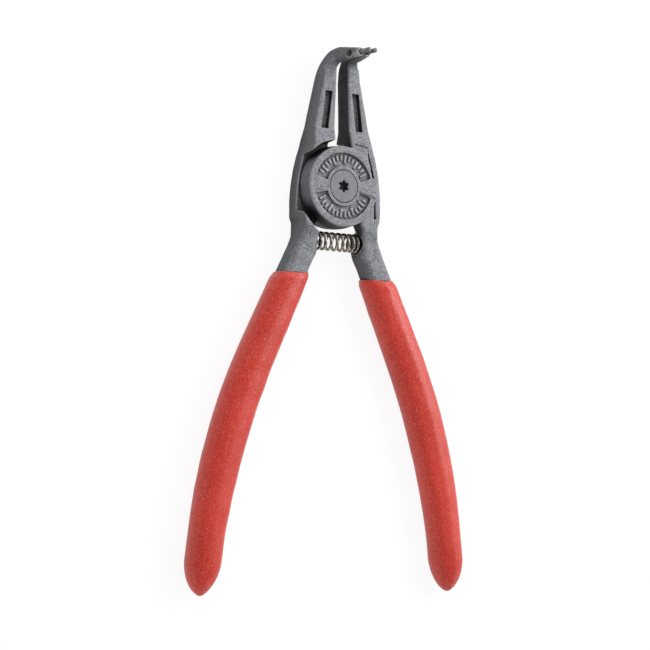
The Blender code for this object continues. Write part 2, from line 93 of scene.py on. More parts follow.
# How far round a place counts, how open it is where painted shade starts and where it
# is darkest, and the darkest share.
SIDE_CREASE_SHADE = (12.0 * MM, 0.82, 0.38, 0.98)
FLOOR_SHADE = (12.0 * MM, 0.76, 0.52, 0.93)
DEEP_SHADE = (12.0 * MM, 0.5, 0.18, 0.97)
CORNER_SHADE = (1.0 * MM, 0.9, 0.45, 0.45)
SHADE_SAMPLES = 8


def put(tree, kind, inputs=None, **settings):
    """One step of a finish, fed with numbers, colours or the results of other steps."""
    made = tree.nodes.new(kind)
    for name, value in settings.items():
        setattr(made, name, value)
    for socket, value in (inputs or {}).items():
        if isinstance(value, bpy.types.NodeSocket):
            tree.links.new(value, made.inputs[socket])
        else:
            made.inputs[socket].default_value = value
    return made


def speckle(tree, size, detail=2.0, roughness=0.5):
    """Speckle whose lumps are about `size` metres across, fixed to the piece."""
    place = put(tree, "ShaderNodeTexCoord").outputs["Object"]
    inputs = {"Vector": place, "Scale": 1 / size, "Detail": detail, "Roughness": roughness}
    return put(tree, "ShaderNodeTexNoise", inputs).outputs["Fac"]


def between(tree, value, low, high, to_low=0.0, to_high=1.0):
    """`value` stretched so that low to high becomes to_low to to_high."""
    inputs = {"Value": value, "From Min": low, "From Max": high, "To Min": to_low, "To Max": to_high}
    return put(tree, "ShaderNodeMapRange", inputs).outputs["Result"]


def times(tree, first, second):
    return put(tree, "ShaderNodeMath", {0: first, 1: second}, operation="MULTIPLY").outputs[0]


def blended(tree, share, first, second):
    """The first tone, with `share` of the second over it."""
    made = put(tree, "ShaderNodeMix", data_type="RGBA", blend_type="MIX")
    for index, value in ((0, share), (6, first), (7, second)):
        if isinstance(value, bpy.types.NodeSocket):
            tree.links.new(value, made.inputs[index])
        else:
            made.inputs[index].default_value = value
    return made.outputs[2]


def bumped(tree, height, depth, under=None):
    """Relief `depth` metres deep from `height`, on top of the relief `under`."""
    inputs = {"Height": height, "Distance": depth, "Strength": 1.0}
    if under is not None:
        inputs["Normal"] = under
    return put(tree, "ShaderNodeBump", inputs).outputs["Normal"]


def new_finish(name):
    finish = bpy.data.materials.new(name)
    finish.use_nodes = True
    return finish, finish.node_tree, finish.node_tree.nodes["Principled BSDF"]


def facing_up(tree):
    """1 on a face that looks straight up from the bench, -1 on one that lies on it."""
    facing = put(tree, "ShaderNodeTexCoord").outputs["Normal"]
    return put(tree, "ShaderNodeSeparateXYZ", {"Vector": facing}).outputs["Z"]


def crease_shade(tree, reach, starts, thickest, most):
    """Share of painted shade: none on open faces or on the flat back, and up to `most`
    in a place closed in within `reach`."""
    around = put(tree, "ShaderNodeAmbientOcclusion", {"Distance": reach}, samples=SHADE_SAMPLES)
    shade_share = between(tree, around.outputs["AO"], starts, thickest, 0.0, most)
    return times(tree, shade_share, between(tree, facing_up(tree), *UNSHADED_BACK))


# Darkens a tone for real pits and turned lines, and with painted shade in closed places.
def darkened_by_marks_and_shade(tree, tone, share):
    return blended(tree, share, tone, STEEL_DARK_MARKS_AND_SHADE)


def blasted_steel():
    finish, tree, shader = new_finish("blasted_steel")
    link = tree.links.new
    grain = speckle(tree, *STEEL_GRAIN)
    mottle = speckle(tree, *STEEL_MOTTLE)
    cloud = speckle(tree, *STEEL_CLOUD)
    tone = blended(tree, between(tree, mottle, *LIGHT_MOTTLE), STEEL_SHADE, STEEL_GREY)
    tone = blended(tree, between(tree, grain, *GRAIN_FLECKS), tone, STEEL_FLECK)
    tone = darkened_by_marks_and_shade(tree, tone, between(tree, grain, *GRAIN_PITS))
    tone = blended(tree, between(tree, cloud, *DARK_CLOUDS), tone, STEEL_SHADE)

    # Painted shade darkens the steep sides, more where they are closed in, but not the front or the back.
    level = put(tree, "ShaderNodeMath", {0: facing_up(tree)}, operation="ABSOLUTE").outputs[0]
    sides = between(tree, level, *STEEP_SIDES)
    tone = blended(tree, between(tree, sides, *SIDE_SHADE_SHARE), tone, STEEL_SIDE_SHADE)
    tone = darkened_by_marks_and_shade(tree, tone, times(tree, sides, crease_shade(tree, *SIDE_CREASE_SHADE)))

    # Painted shade darkens the sunk floors of the joint, but not the slots of the jaws.
    place = put(tree, "ShaderNodeTexCoord").outputs["Object"]
    place = put(tree, "ShaderNodeSeparateXYZ", {"Vector": place}).outputs
    floors = times(tree, between(tree, sides, *LEVEL_FLOORS), between(tree, place["Y"], *FLOORS_END_Y))
    tone = darkened_by_marks_and_shade(tree, tone, times(tree, floors, crease_shade(tree, *FLOOR_SHADE)))
    # Painted shade in the closed-in places, and a little more in small corners.
    tone = darkened_by_marks_and_shade(tree, tone, crease_shade(tree, *DEEP_SHADE))
    tone = darkened_by_marks_and_shade(tree, tone, crease_shade(tree, *CORNER_SHADE))

    # Edges and the ends of the noses are lighter in patches: rubbed bright by handling, and a painted
    # highlight.
    edge = put(tree, "ShaderNodeAttribute", attribute_name=EDGE_WEAR_AND_LIGHT).outputs["Fac"]
    rubbed = times(tree, between(tree, edge, *EDGE_RUBBING_AND_HIGHLIGHT), between(tree, mottle, *EDGE_PATCHES))
    tone = blended(tree, rubbed, tone, STEEL_RUBBED_AND_HIGHLIT)
    nose = between(tree, place["Z"], *NOSE_RUBBING_AND_HIGHLIGHT_Z)
    tone = blended(tree, times(tree, nose, between(tree, mottle, *NOSE_PATCHES)), tone, STEEL_RUBBED_AND_HIGHLIT)
    # Painted shade in the floor of the stake dent.
    tone = darkened_by_marks_and_shade(tree, tone, between(tree, edge, *DENT_SHADE))

    link(tone, shader.inputs["Base Color"])
    shader.inputs["Metallic"].default_value = STEEL_METALLIC
    shader.inputs["Specular IOR Level"].default_value = STEEL_SPECULAR
    link(between(tree, mottle, *ROUGH_MOTTLE), shader.inputs["Roughness"])
    relief = bumped(tree, mottle, MOTTLE_RELIEF)
    link(bumped(tree, grain, GRAIN_RELIEF, relief), shader.inputs["Normal"])
    return finish


steel = blasted_steel()


# Lever forgings. Each lever is one forging: a handle core, half of the lap joint with
# its disc and the pocket for the other disc, a fluted jaw and a nose bent up at a right
# angle. Its die radii are soft and its faces are a few hundredths uneven.

RIGHT, LEFT = 1, -1
LEVER_SEEDS = {RIGHT: 3, LEFT: 4}
FORGING_GRAIN = 0.18 * MM
FORGING_WELD = 0.001 * MM
FORGING_UNEVENNESS, FORGING_WAVE = 0.03 * MM, 5.0 * MM
WAVE_COUNT, WAVE_SPREAD = 14, (0.6, 1.5)
BLAST_STRENGTH, BLAST_PASSES = 0.5, 3
WEAR_PASSES, WEAR_HEIGHT = 16, 0.09 * MM
TICK_FOOT, TICK_TOP = 8.5 * MM, 9.32 * MM
TICK_INNER, TICK_OUTER = 6.8 * MM, 9.3 * MM
TICK_WIDTH = 0.72 * MM
TICK_ARCS, TICKS_PER_ARC = ((29.0, 153.0), (208.0, 334.0)), 14
LONG_TICK_EVERY, SHORT_TICK_CUT = 3, 0.9 * MM
EDGE_LINES = (((3.9, 13.1), (8.1, 12.3)), ((5.7, -1.5), (11.1, -2.7)))
LINE_DEPTH, LINE_WIDTH = 0.4 * MM, 0.22 * MM
LINE_FACING, LINE_LOWEST = 0.7, 8.9 * MM
STAKE_MARK, STAKE_REACH, STAKE_DEPTH = (2.9, 38.85, 15.4), 1.12 * MM, 0.5 * MM
BURR_REACH, BURR_WIDTH, BURR_HEIGHT = 1.36 * MM, 0.22 * MM, 0.1 * MM


def waves(points, size, seed):
    """Smooth unevenness of about one, made of a few crossing waves."""
    draw = np.random.default_rng(seed)
    total = np.zeros(len(points))
    for _ in range(WAVE_COUNT):
        direction = draw.normal(size=3)
        direction /= np.linalg.norm(direction)
        pitch = math.tau / size * draw.uniform(*WAVE_SPREAD)
        total += np.sin(points @ direction * pitch + draw.uniform(0, math.tau))
    return total / math.sqrt(WAVE_COUNT)


def add_ticks(mesh):
    """Raised ticks on the floors of the two sunk arcs in the front of the joint."""
    for start, end in TICK_ARCS:
        for index in range(TICKS_PER_ARC):
            angle = math.radians(start + (end - start) * index / (TICKS_PER_ARC - 1))
            inner = TICK_INNER if index % LONG_TICK_EVERY == 0 else TICK_INNER + SHORT_TICK_CUT
            middle = Vector(((inner + TICK_OUTER) / 2, 0, (TICK_FOOT + TICK_TOP) / 2))
            size = (TICK_OUTER - inner, TICK_WIDTH, TICK_TOP - TICK_FOOT, 1)
            place = Matrix.Rotation(angle, 4, "Z") @ Matrix.Translation(middle) @ Matrix.Diagonal(size)
            bmesh.ops.create_cube(mesh, size=1.0, matrix=place)


def press_lines(points, normals):
    """Sinks the two fine die lines where the disc of the joint meets its flank."""
    facing = normals[:, 2] > LINE_FACING
    for start, end in EDGE_LINES:
        first, last = np.array(start) * MM, np.array(end) * MM
        along = last - first
        share = np.clip((points[:, :2] - first) @ along / (along @ along), 0, 1)
        off = np.linalg.norm(points[:, :2] - first - share[:, None] * along, axis=1)
        sunk = np.exp(-((off / LINE_WIDTH) ** 2)) * facing * (points[:, 2] > LINE_LOWEST)
        points[:, 2] -= LINE_DEPTH * sunk


def press_stake_mark(points, wear_and_light, side):
    """Deepens the dent that holds the tip pin, in the outer side of the nose. Its floor gets
    painted shade, and the punch raises a burr on its near side, rubbed bright and given a painted
    highlight."""
    middle = np.array((side * STAKE_MARK[0], *STAKE_MARK[1:])) * MM
    off = np.linalg.norm(points - middle, axis=1)
    sunk = np.exp(-((off / STAKE_REACH) ** 4))
    near = np.clip((middle[1] - points[:, 1]) / BURR_REACH, 0, 1)
    burr = near * np.exp(-(((off - BURR_REACH) / BURR_WIDTH) ** 2))
    points[:, 0] += side * (BURR_HEIGHT * burr - STAKE_DEPTH * sunk)
    wear_and_light += burr - 2 * sunk


def settled(blank):
    """The shape of a blank once its dies and its blasting have worked on it."""
    bpy.context.view_layer.update()
    graph = bpy.context.evaluated_depsgraph_get()
    return bpy.data.meshes.new_from_object(blank.evaluated_get(graph))


def points_and_normals(data):
    points = np.empty(len(data.vertices) * 3)
    data.vertices.foreach_get("co", points)
    normals = np.empty(len(data.vertices) * 3)
    data.vertex_normals.foreach_get("vector", normals)
    return points.reshape(-1, 3), normals.reshape(-1, 3)


def forged(node, side, raise_marks=None, press_marks=None):
    """The lever's plain solid with the soft edges and uneven faces of a forging."""
    mesh = bmesh.new()
    mesh.from_mesh(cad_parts[node].data)
    bmesh.ops.remove_doubles(mesh, verts=mesh.verts, dist=FORGING_WELD)
    if raise_marks:
        raise_marks(mesh)
    data = bpy.data.meshes.new(node)
    mesh.to_mesh(data)
    mesh.free()
    blank = bpy.data.objects.new("blank", data)
    bpy.context.scene.collection.objects.link(blank)
    dies = blank.modifiers.new("dies", "REMESH")
    dies.mode = "VOXEL"
    dies.voxel_size = FORGING_GRAIN
    blast = blank.modifiers.new("blast", "SMOOTH")
    blast.factor = BLAST_STRENGTH
    blast.iterations = BLAST_PASSES
    data = settled(blank)
    blast.iterations = WEAR_PASSES
    rubbed, _ = points_and_normals(settled(blank))
    bpy.data.objects.remove(blank)
    points, normals = points_and_normals(data)
    # How far each point stands out at an edge, which sets its rubbing and painted highlight.
    wear_and_light = np.clip(((points - rubbed) * normals).sum(axis=1) / WEAR_HEIGHT, 0, 1)
    points += normals * (waves(points, FORGING_WAVE, LEVER_SEEDS[side]) * FORGING_UNEVENNESS)[:, None]
    press_stake_mark(points, wear_and_light, side)
    data.attributes.new(EDGE_WEAR_AND_LIGHT, "FLOAT", "POINT").data.foreach_set("value", np.clip(wear_and_light, -1, 1))
    if press_marks:
        press_marks(points, normals)
    low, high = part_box(node)
    points = np.clip(points, np.array(low), np.array(high))
    data.vertices.foreach_set("co", points.ravel())
    data.update()
    return data


def fit_piece(name, data, finish, body, node):
    """Puts a finished piece in the place of its plain solid, on its half of the pliers."""
    data.materials.clear()
    data.materials.append(finish)
    data.shade_smooth()
    piece = bpy.data.objects.new(name, data)
    bpy.context.scene.collection.objects.link(piece)
    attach(piece, body)
    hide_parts(node)


right_forging = forged("right_lever", RIGHT, add_ticks, press_lines)
fit_piece("right_lever_forging", right_forging, steel, "right_half", "right_lever")
left_forging = forged("left_lever", LEFT)
fit_piece("left_lever_forging", left_forging, steel, "left_half", "left_lever")


# Pivot screw. It is a flush screw turned from bar, with a six-point star socket pressed
# into its head. It is tightened to a light running fit, faced off with the joint and
# blackened.

SCREW_TOP, SCREW_HEAD_FOOT = 9.56 * MM, 7.42 * MM
SCREW_HEAD, SCREW_SHANK, SHANK_MIDDLE = 4.86 * MM, 3.18 * MM, 1.2 * MM
SCREW_STEPS = 144
STAR_TIP, STAR_VALLEY = 1.87 * MM, 1.22 * MM
STAR_POINTS, STAR_SHARPNESS = 6, 1.6
STAR_FLOOR, STAR_FLOOR_SHARE = 7.95 * MM, 0.92
STAR_WALL_FOOT, STAR_WALL_TOP = STAR_FLOOR + 0.05 * MM, SCREW_TOP - 0.09 * MM
STAR_WALL_ROWS = (0.0, 0.33, 0.66, 1.0)
STAR_CONE_RADIUS, STAR_CONE_DEPTH = 0.12 * MM, 0.35 * MM

# Millimetres out from the star and down from the face, then the rings of the face, and
# how far in and down the rounded edge of the head and the end of the shank go.
STAR_EDGE = ((0.07, 0.02), (0.16, 0.0))
FACE_RINGS = (2.3, 2.6, 2.9, 3.2, 3.5, 3.8, 4.1, 4.4)
HEAD_EDGE = ((0.22, 0.0), (0.12, 0.03), (0.04, 0.09), (0.0, 0.2))
SHANK_END = ((0.0, 0.35), (0.1, 0.12), (0.34, 0.0))

TURNED_MOTTLE, TURNED_GRAIN = (0.9 * MM, 5.0, 0.6), (0.16 * MM, 2.0)
TURNED_LIGHT, TURNED_FLECKS = (0.35, 0.68), (0.5, 0.75, 0.0, 0.4)
TURNED_CREASE_SHADE, TURNED_RELIEF = (3.0 * MM, 0.8, 0.3, 0.96), 0.02 * MM
TOOL_WOBBLE, TOOL_DETAIL, TOOL_CRESTS = 0.6, 2.0, (0.6, 1.0)
TURNED_PATCHES, SMOOTHER, ROUGHER = (0.3, 0.7), 0.06, 0.1
SCREW_TONES = (0.19, 0.193, 0.212, 1), (0.29, 0.295, 0.32, 1)
SCREW_LINES, SCREW_LINE_SHARE = 900.0, 0.35
SCREW_METALLIC, SCREW_ROUGHNESS = 0.25, 0.55


def skinned(rings, name):
    """A closed mesh through rings of points, each end closed to a middle point."""
    mesh = bmesh.new()
    rows = [[mesh.verts.new(point) for point in ring] for ring in rings]
    count = len(rows[0])
    for lower, upper in zip(rows, rows[1:]):
        for i in range(count):
            j = (i + 1) % count
            mesh.faces.new((lower[i], lower[j], upper[j], upper[i]))
    for row, ring in ((rows[0], rings[0]), (rows[-1], rings[-1])):
        middle = mesh.verts.new(sum((Vector(point) for point in ring), Vector()) / count)
        for i in range(count):
            mesh.faces.new((row[i], row[(i + 1) % count], middle))
    bmesh.ops.recalc_face_normals(mesh, faces=mesh.faces)
    data = bpy.data.meshes.new(name)
    mesh.to_mesh(data)
    mesh.free()
    return data


def star_reach(angle):
    """Distance from the axis to the wall of the star socket."""
    lobe = abs(math.cos(STAR_POINTS / 2 * (angle - math.pi / 2)))
    return STAR_VALLEY + (STAR_TIP - STAR_VALLEY) * lobe**STAR_SHARPNESS


def screw_mesh():
    """From the floor of the star socket up its wall, over the head and down the shank."""
    turn = [math.tau * i / SCREW_STEPS for i in range(SCREW_STEPS)]
    star = [star_reach(angle) for angle in turn]
    rings = []

    def ring(height, reaches):
        rings.append([(r * math.cos(a), r * math.sin(a), height) for r, a in zip(reaches, turn)])

    def round_ring(height, radius):
        ring(height, [radius] * SCREW_STEPS)

    round_ring(STAR_FLOOR - STAR_CONE_DEPTH, STAR_CONE_RADIUS)
    ring(STAR_FLOOR, [reach * STAR_FLOOR_SHARE for reach in star])
    for share in STAR_WALL_ROWS:
        ring(STAR_WALL_FOOT + (STAR_WALL_TOP - STAR_WALL_FOOT) * share, star)
    for grown, drop in STAR_EDGE:
        ring(SCREW_TOP - drop * MM, [reach + grown * MM for reach in star])
    for radius in FACE_RINGS:
        round_ring(SCREW_TOP, radius * MM)
    for inset, drop in HEAD_EDGE:
        round_ring(SCREW_TOP - drop * MM, SCREW_HEAD - inset * MM)
    round_ring(SCREW_HEAD_FOOT, SCREW_HEAD)
    round_ring(SCREW_HEAD_FOOT, SCREW_SHANK)
    for inset, height in SHANK_END:
        round_ring(height * MM, SCREW_SHANK - inset * MM)
    round_ring(0.0, SHANK_MIDDLE)
    return skinned(rings, "pivot_screw")


def turned_steel(name, tones, lines, line_share, metallic, roughness):
    """Lathe-turned steel: fine dark rings round the axis, streaks of tone and flecks."""
    finish, tree, shader = new_finish(name)
    link = tree.links.new
    place = put(tree, "ShaderNodeTexCoord").outputs["Object"]
    inputs = {"Vector": place, "Scale": lines, "Distortion": TOOL_WOBBLE, "Detail": TOOL_DETAIL}
    rings = put(tree, "ShaderNodeTexWave", inputs, wave_type="RINGS", rings_direction="Z").outputs["Fac"]
    mottle = speckle(tree, *TURNED_MOTTLE)
    grain = speckle(tree, *TURNED_GRAIN)
    tone = blended(tree, between(tree, mottle, *TURNED_LIGHT), *tones)
    tone = blended(tree, between(tree, grain, *TURNED_FLECKS), tone, STEEL_FLECK)
    # Painted shade where the screw or pin is closed in.
    tone = darkened_by_marks_and_shade(tree, tone, crease_shade(tree, *TURNED_CREASE_SHADE))
    tone = darkened_by_marks_and_shade(tree, tone, between(tree, rings, *TOOL_CRESTS, 0.0, line_share))
    link(tone, shader.inputs["Base Color"])
    shader.inputs["Metallic"].default_value = metallic
    rough = between(tree, mottle, *TURNED_PATCHES, roughness - SMOOTHER, roughness + ROUGHER)
    link(rough, shader.inputs["Roughness"])
    link(bumped(tree, grain, TURNED_RELIEF), shader.inputs["Normal"])
    return finish


screw_finish = turned_steel(
    "blackened_screw", SCREW_TONES, SCREW_LINES, SCREW_LINE_SHARE, SCREW_METALLIC, SCREW_ROUGHNESS
)
fit_piece("pivot_screw_turned", screw_mesh(), screw_finish, "left_half", "pivot_screw")


# Tip pins. They are two short pieces of hardened rod, pressed into the ends of the
# noses and held by the stake marks. They carry the eyes of the ring, so they are
# ground round, with a broken edge.

NAMES = {RIGHT: "right", LEFT: "left"}
ROUNDING_DEGREES = 15
PIN_RADIUS, PIN_EDGE = 0.69 * MM, 0.24 * MM
PIN_Y, PIN_SPREAD = 38.85 * MM, 1.1 * MM
PIN_FOOT, PIN_TOP = 16.75 * MM, 23.68 * MM
PIN_LEAD_IN, PIN_LEAD_IN_SHARE = 0.2 * MM, 0.8
PIN_ROWS, PIN_ROW, PIN_AROUND = 6, 1.0 * MM, 40
PIN_TONES = (0.12, 0.12, 0.13, 1), (0.24, 0.24, 0.25, 1)
PIN_LINES, PIN_LINE_SHARE = 1500.0, 0.3
PIN_METALLIC, PIN_ROUGHNESS = 0.5, 0.4


def pin_mesh(side):
    """From the lead-in at the foot, pressed into the nose, up to the broken edge."""
    outline = [(PIN_RADIUS * PIN_LEAD_IN_SHARE, PIN_FOOT), (PIN_RADIUS, PIN_FOOT + PIN_LEAD_IN)]
    outline += [(PIN_RADIUS, PIN_FOOT + PIN_ROW * (row + 1)) for row in range(PIN_ROWS)]
    for degrees in range(0, 91, ROUNDING_DEGREES):
        angle = math.radians(degrees)
        radius = PIN_RADIUS - PIN_EDGE + PIN_EDGE * math.cos(angle)
        outline.append((radius, PIN_TOP - PIN_EDGE + PIN_EDGE * math.sin(angle)))
    middle = Vector((side * PIN_SPREAD, PIN_Y, 0))
    turn = [math.tau * i / PIN_AROUND for i in range(PIN_AROUND)]
    rings = []
    for radius, height in outline:
        rings.append([middle + Vector((radius * math.cos(a), radius * math.sin(a), height)) for a in turn])
    return skinned(rings, f"{NAMES[side]}_tip_pin")


pin_finish = turned_steel(
    "ground_pin", PIN_TONES, PIN_LINES, PIN_LINE_SHARE, PIN_METALLIC, PIN_ROUGHNESS
)
for side, body in ((LEFT, "left_half"), (RIGHT, "right_half")):
    node = f"{NAMES[side]}_tip_pin"
    fit_piece(f"{node}_ground", pin_mesh(side), pin_finish, body, node)


# Return spring. It is nine turns of drawn spring wire, wound cold and left bright. Its
# ends sit in round sockets in the handle roots, each on a forged peg, and it pushes the
# handles open.

SPRING_Y, SPRING_Z = -16.3 * MM, 4.8 * MM
SPRING_REACH = 8.58 * MM
SPRING_COIL, SPRING_WIRE = 2.43 * MM, 0.46 * MM
SPRING_TURNS, SPRING_CLOSING = 9, 0.2
STEPS_PER_TURN, WIRE_SIDES = 40, 14
WIRE_DARK, WIRE_BRIGHT = (0.14, 0.118, 0.088, 1), (0.80, 0.745, 0.65, 1)
WIRE_SHADE, WIRE_METALLIC = (0.008, 0.006, 0.005, 1), 0.7
WIRE_STREAKS, WIRE_GRAIN = (0.5 * MM, 4.0, 0.6), (0.12 * MM, 2.0)
BRIGHT_STREAKS, ROUGH_STREAKS = (0.36, 0.66), (0.3, 0.7, 0.2, 0.34)
WIRE_CREASE_SHADE, WIRE_RELIEF = (2.0 * MM, 0.95, 0.7, 0.98), 0.008 * MM


def spring_mesh():
    """The wire along its coil, whose pitch changes a little on the way along."""
    count = SPRING_TURNS * STEPS_PER_TURN
    length = 2 * (SPRING_REACH - SPRING_WIRE)
    rings = []
    for i in range(count + 1):
        share = i / count
        closed = SPRING_CLOSING * math.sin(math.tau * share) / math.tau
        angle = math.tau * i / STEPS_PER_TURN
        outward = Vector((0, math.cos(angle), math.sin(angle)))
        middle = Vector((length * (share - closed - 0.5), SPRING_Y, SPRING_Z)) + outward * SPRING_COIL
        ring = []
        for k in range(WIRE_SIDES):
            around = math.tau * k / WIRE_SIDES
            off = outward * math.cos(around) + Vector((math.sin(around), 0, 0))
            ring.append(middle + off * SPRING_WIRE)
        rings.append(ring)
    return skinned(rings, "return_spring")


def drawn_wire():
    finish, tree, shader = new_finish("drawn_wire")
    link = tree.links.new
    streaks = speckle(tree, *WIRE_STREAKS)
    grain = speckle(tree, *WIRE_GRAIN)
    tone = blended(tree, between(tree, streaks, *BRIGHT_STREAKS), WIRE_DARK, WIRE_BRIGHT)
    # Painted shade on the sides of the wire, between the turns.
    tone = blended(tree, crease_shade(tree, *WIRE_CREASE_SHADE), tone, WIRE_SHADE)
    link(tone, shader.inputs["Base Color"])
    shader.inputs["Metallic"].default_value = WIRE_METALLIC
    link(between(tree, streaks, *ROUGH_STREAKS), shader.inputs["Roughness"])
    link(bumped(tree, grain, WIRE_RELIEF), shader.inputs["Normal"])
    return finish


spring_data = spring_mesh()
spring_data.materials.append(drawn_wire())
spring_data.shade_smooth()
spring = bpy.data.objects.new("return_spring_wire", spring_data)
bpy.context.scene.collection.objects.link(spring)
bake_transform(spring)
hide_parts("return_spring")


# Dipped sleeves. The warm handles are dipped in liquid vinyl, hung to drip and cured,
# so each sleeve ends in a drip-shaped point below and in a soft, slightly wavy lip
# above. The skin is semi-gloss with a fine pebble.

HANDLE_ROOT_Y, HANDLE_ROOT_REACH = -19.4 * MM, 11.7 * MM
HANDLE_LEAN = math.radians(25.0)
HANDLE_STRAIGHT, HANDLE_BOW = 33.0 * MM, 192.0 * MM
HANDLE_MIDDLE = 4.8 * MM
SLEEVE_TOP_Y, SLEEVE_END_Y = {RIGHT: -26.8 * MM, LEFT: -26.2 * MM}, -120.75 * MM
SLEEVE_WIDTHS = ((-103.3, 10.65), (-56.3, 12.75), (-27.5, 11.55))
SLEEVE_HALF_DEPTH, SLEEVE_WALL, SLEEVE_LOWEST = 4.5 * MM, 1.1 * MM, 0.11 * MM
SLEEVE_SQUARENESS = 2.45
SLEEVE_RIDGE = {RIGHT: 0.24 * MM, LEFT: 0.12 * MM}
RIDGE_ANGLE, RIDGE_SPREAD = math.radians(88), math.radians(9)
SLEEVE_AROUND, SLEEVE_ROWS, ROWS_CROWDED = 96, 120, 1.5
POINT_LENGTH, POINT_ROWS = 10.5 * MM, 22
POINT_TAPER, POINT_BLUNTNESS = 1.9, 0.62
LIP_WAVE, LIP_WAVE_REACH = 0.32 * MM, 6.0 * MM
LIP_SWINGS, LIP_START = ((2, 0.55, 1), (3, 0.3, 2), (7, 0.15, 0)), {RIGHT: 0.7, LEFT: 2.4}
LIP_ROLL, LIP_SHOULDER, SHOULDER_LENGTH = 0.7 * MM, 0.36 * MM, 1.3 * MM
LINING_ROWS, LINING_ROW = 8, 1.2 * MM
SKIN_UNEVENNESS, SKIN_WAVE, SKIN_SEED = 0.04 * MM, 9.0 * MM, 20

VINYL_RED, VINYL_LIGHT = (0.64, 0.026, 0.014, 1), (0.74, 0.038, 0.022, 1)
VINYL_GLINT, VINYL_PIT = (0.98, 0.3, 0.18, 1), (0.36, 0.01, 0.008, 1)
VINYL_PEBBLE, VINYL_SKIN, VINYL_CLOUD = (0.26 * MM, 2.0, 0.5), (1.7 * MM, 3.0), (16.0 * MM, 2.0)
LIGHT_CLOUDS, ROUGH_SKIN = (0.35, 0.65), (0.3, 0.7, 0.3, 0.4)
PEBBLE_GLINTS, PEBBLE_PITS = (0.57, 0.67, 0.0, 0.75), (0.42, 0.26, 0.0, 0.6)
PEBBLE_RELIEF, SKIN_RELIEF = 0.06 * MM, 0.05 * MM
VINYL_SPECULAR = 0.56
VINYL_SHEEN, SHEEN_ROUGHNESS, SHEEN_TINT = 0.1, 0.4, (1.0, 0.75, 0.7, 1)


def handle_line(y):
    """Distance of a handle's centre line from the middle line of the pliers."""
    down = HANDLE_ROOT_Y - y
    bow_starts = HANDLE_STRAIGHT * math.cos(HANDLE_LEAN)
    if down <= bow_starts:
        return HANDLE_ROOT_REACH + down * math.tan(HANDLE_LEAN)
    sine = math.sin(HANDLE_LEAN) - (down - bow_starts) / HANDLE_BOW
    bowed = HANDLE_BOW * (math.sqrt(1 - sine * sine) - math.cos(HANDLE_LEAN))
    return HANDLE_ROOT_REACH + HANDLE_STRAIGHT * math.sin(HANDLE_LEAN) + bowed


def sleeve_half_width(y):
    """Half the width of a sleeve: widest in the palm, narrower at both ends."""
    (tail_y, tail), (palm_y, palm), (top_y, top) = SLEEVE_WIDTHS
    at = y / MM
    if at < palm_y:
        share = max(0.0, (at - tail_y) / (palm_y - tail_y))
        width = tail + (palm - tail) * (1 - (1 - share) ** 2)
    else:
        share = min(1.0, (at - palm_y) / (top_y - palm_y))
        width = palm + (top - palm) * share**2
    return width * MM / 2


def lip_rise(side, angle):
    """How far the wavy lip stands above or below its mean height, round the sleeve."""
    start = LIP_START[side]
    return LIP_WAVE * sum(part * math.sin(n * angle + turns * start) for n, part, turns in LIP_SWINGS)


def sleeve_ring(side, y, inset=0.0, swell=1.0, lip=0.0):
    """One section of a sleeve, `inset` within its skin. `lip` is its share of the wave."""
    width = sleeve_half_width(y) * swell - inset
    depth = SLEEVE_HALF_DEPTH * swell - inset
    power = 2 / SLEEVE_SQUARENESS
    ring = []
    for i in range(SLEEVE_AROUND):
        angle = math.tau * i / SLEEVE_AROUND
        c, s = math.cos(angle), math.sin(angle)
        ridge = SLEEVE_RIDGE[side] / (1 + ((angle - RIDGE_ANGLE) / RIDGE_SPREAD) ** 2)
        x = math.copysign(abs(c) ** power, c) * width + ridge * c
        z = math.copysign(abs(s) ** power, s) * depth + ridge * s
        at = y + lip * lip_rise(side, angle)
        ring.append(Vector((side * (handle_line(at) + x), at, HANDLE_MIDDLE + z)))
    return ring


def sleeve_mesh(side):
    """From the drip point up the skin, over the rolled lip and down inside."""
    foot = SLEEVE_TOP_Y[side] - LIP_WAVE - LIP_ROLL
    tail = SLEEVE_END_Y + POINT_LENGTH
    rings = []
    for i in range(1, POINT_ROWS):
        share = (i / POINT_ROWS) ** ROWS_CROWDED
        swell = (1 - (1 - share) ** POINT_TAPER) ** POINT_BLUNTNESS
        rings.append(sleeve_ring(side, SLEEVE_END_Y + POINT_LENGTH * share, swell=swell))
    for i in range(SLEEVE_ROWS):
        below = (foot - tail) * (1 - i / SLEEVE_ROWS) ** ROWS_CROWDED
        drawn_in = LIP_SHOULDER * max(0.0, 1 - below / SHOULDER_LENGTH) ** 2
        near = max(0.0, 1 - below / LIP_WAVE_REACH)
        rings.append(sleeve_ring(side, foot - below, drawn_in, lip=near))
    for degrees in range(0, 181, ROUNDING_DEGREES):
        angle = math.radians(degrees)
        inward = LIP_SHOULDER + (SLEEVE_WALL - LIP_SHOULDER) / 2 * (1 - math.cos(angle))
        rings.append(sleeve_ring(side, foot + LIP_ROLL * math.sin(angle), inward, lip=1.0))
    for i in range(LINING_ROWS):
        rings.append(sleeve_ring(side, foot - LINING_ROW * (i + 1), SLEEVE_WALL))
    data = skinned(rings, f"{NAMES[side]}_sleeve")
    points, normals = points_and_normals(data)
    points += normals * (waves(points, SKIN_WAVE, SKIN_SEED + side) * SKIN_UNEVENNESS)[:, None]
    points[:, 2] = np.maximum(points[:, 2], SLEEVE_LOWEST)
    data.vertices.foreach_set("co", points.ravel())
    data.update()
    return data


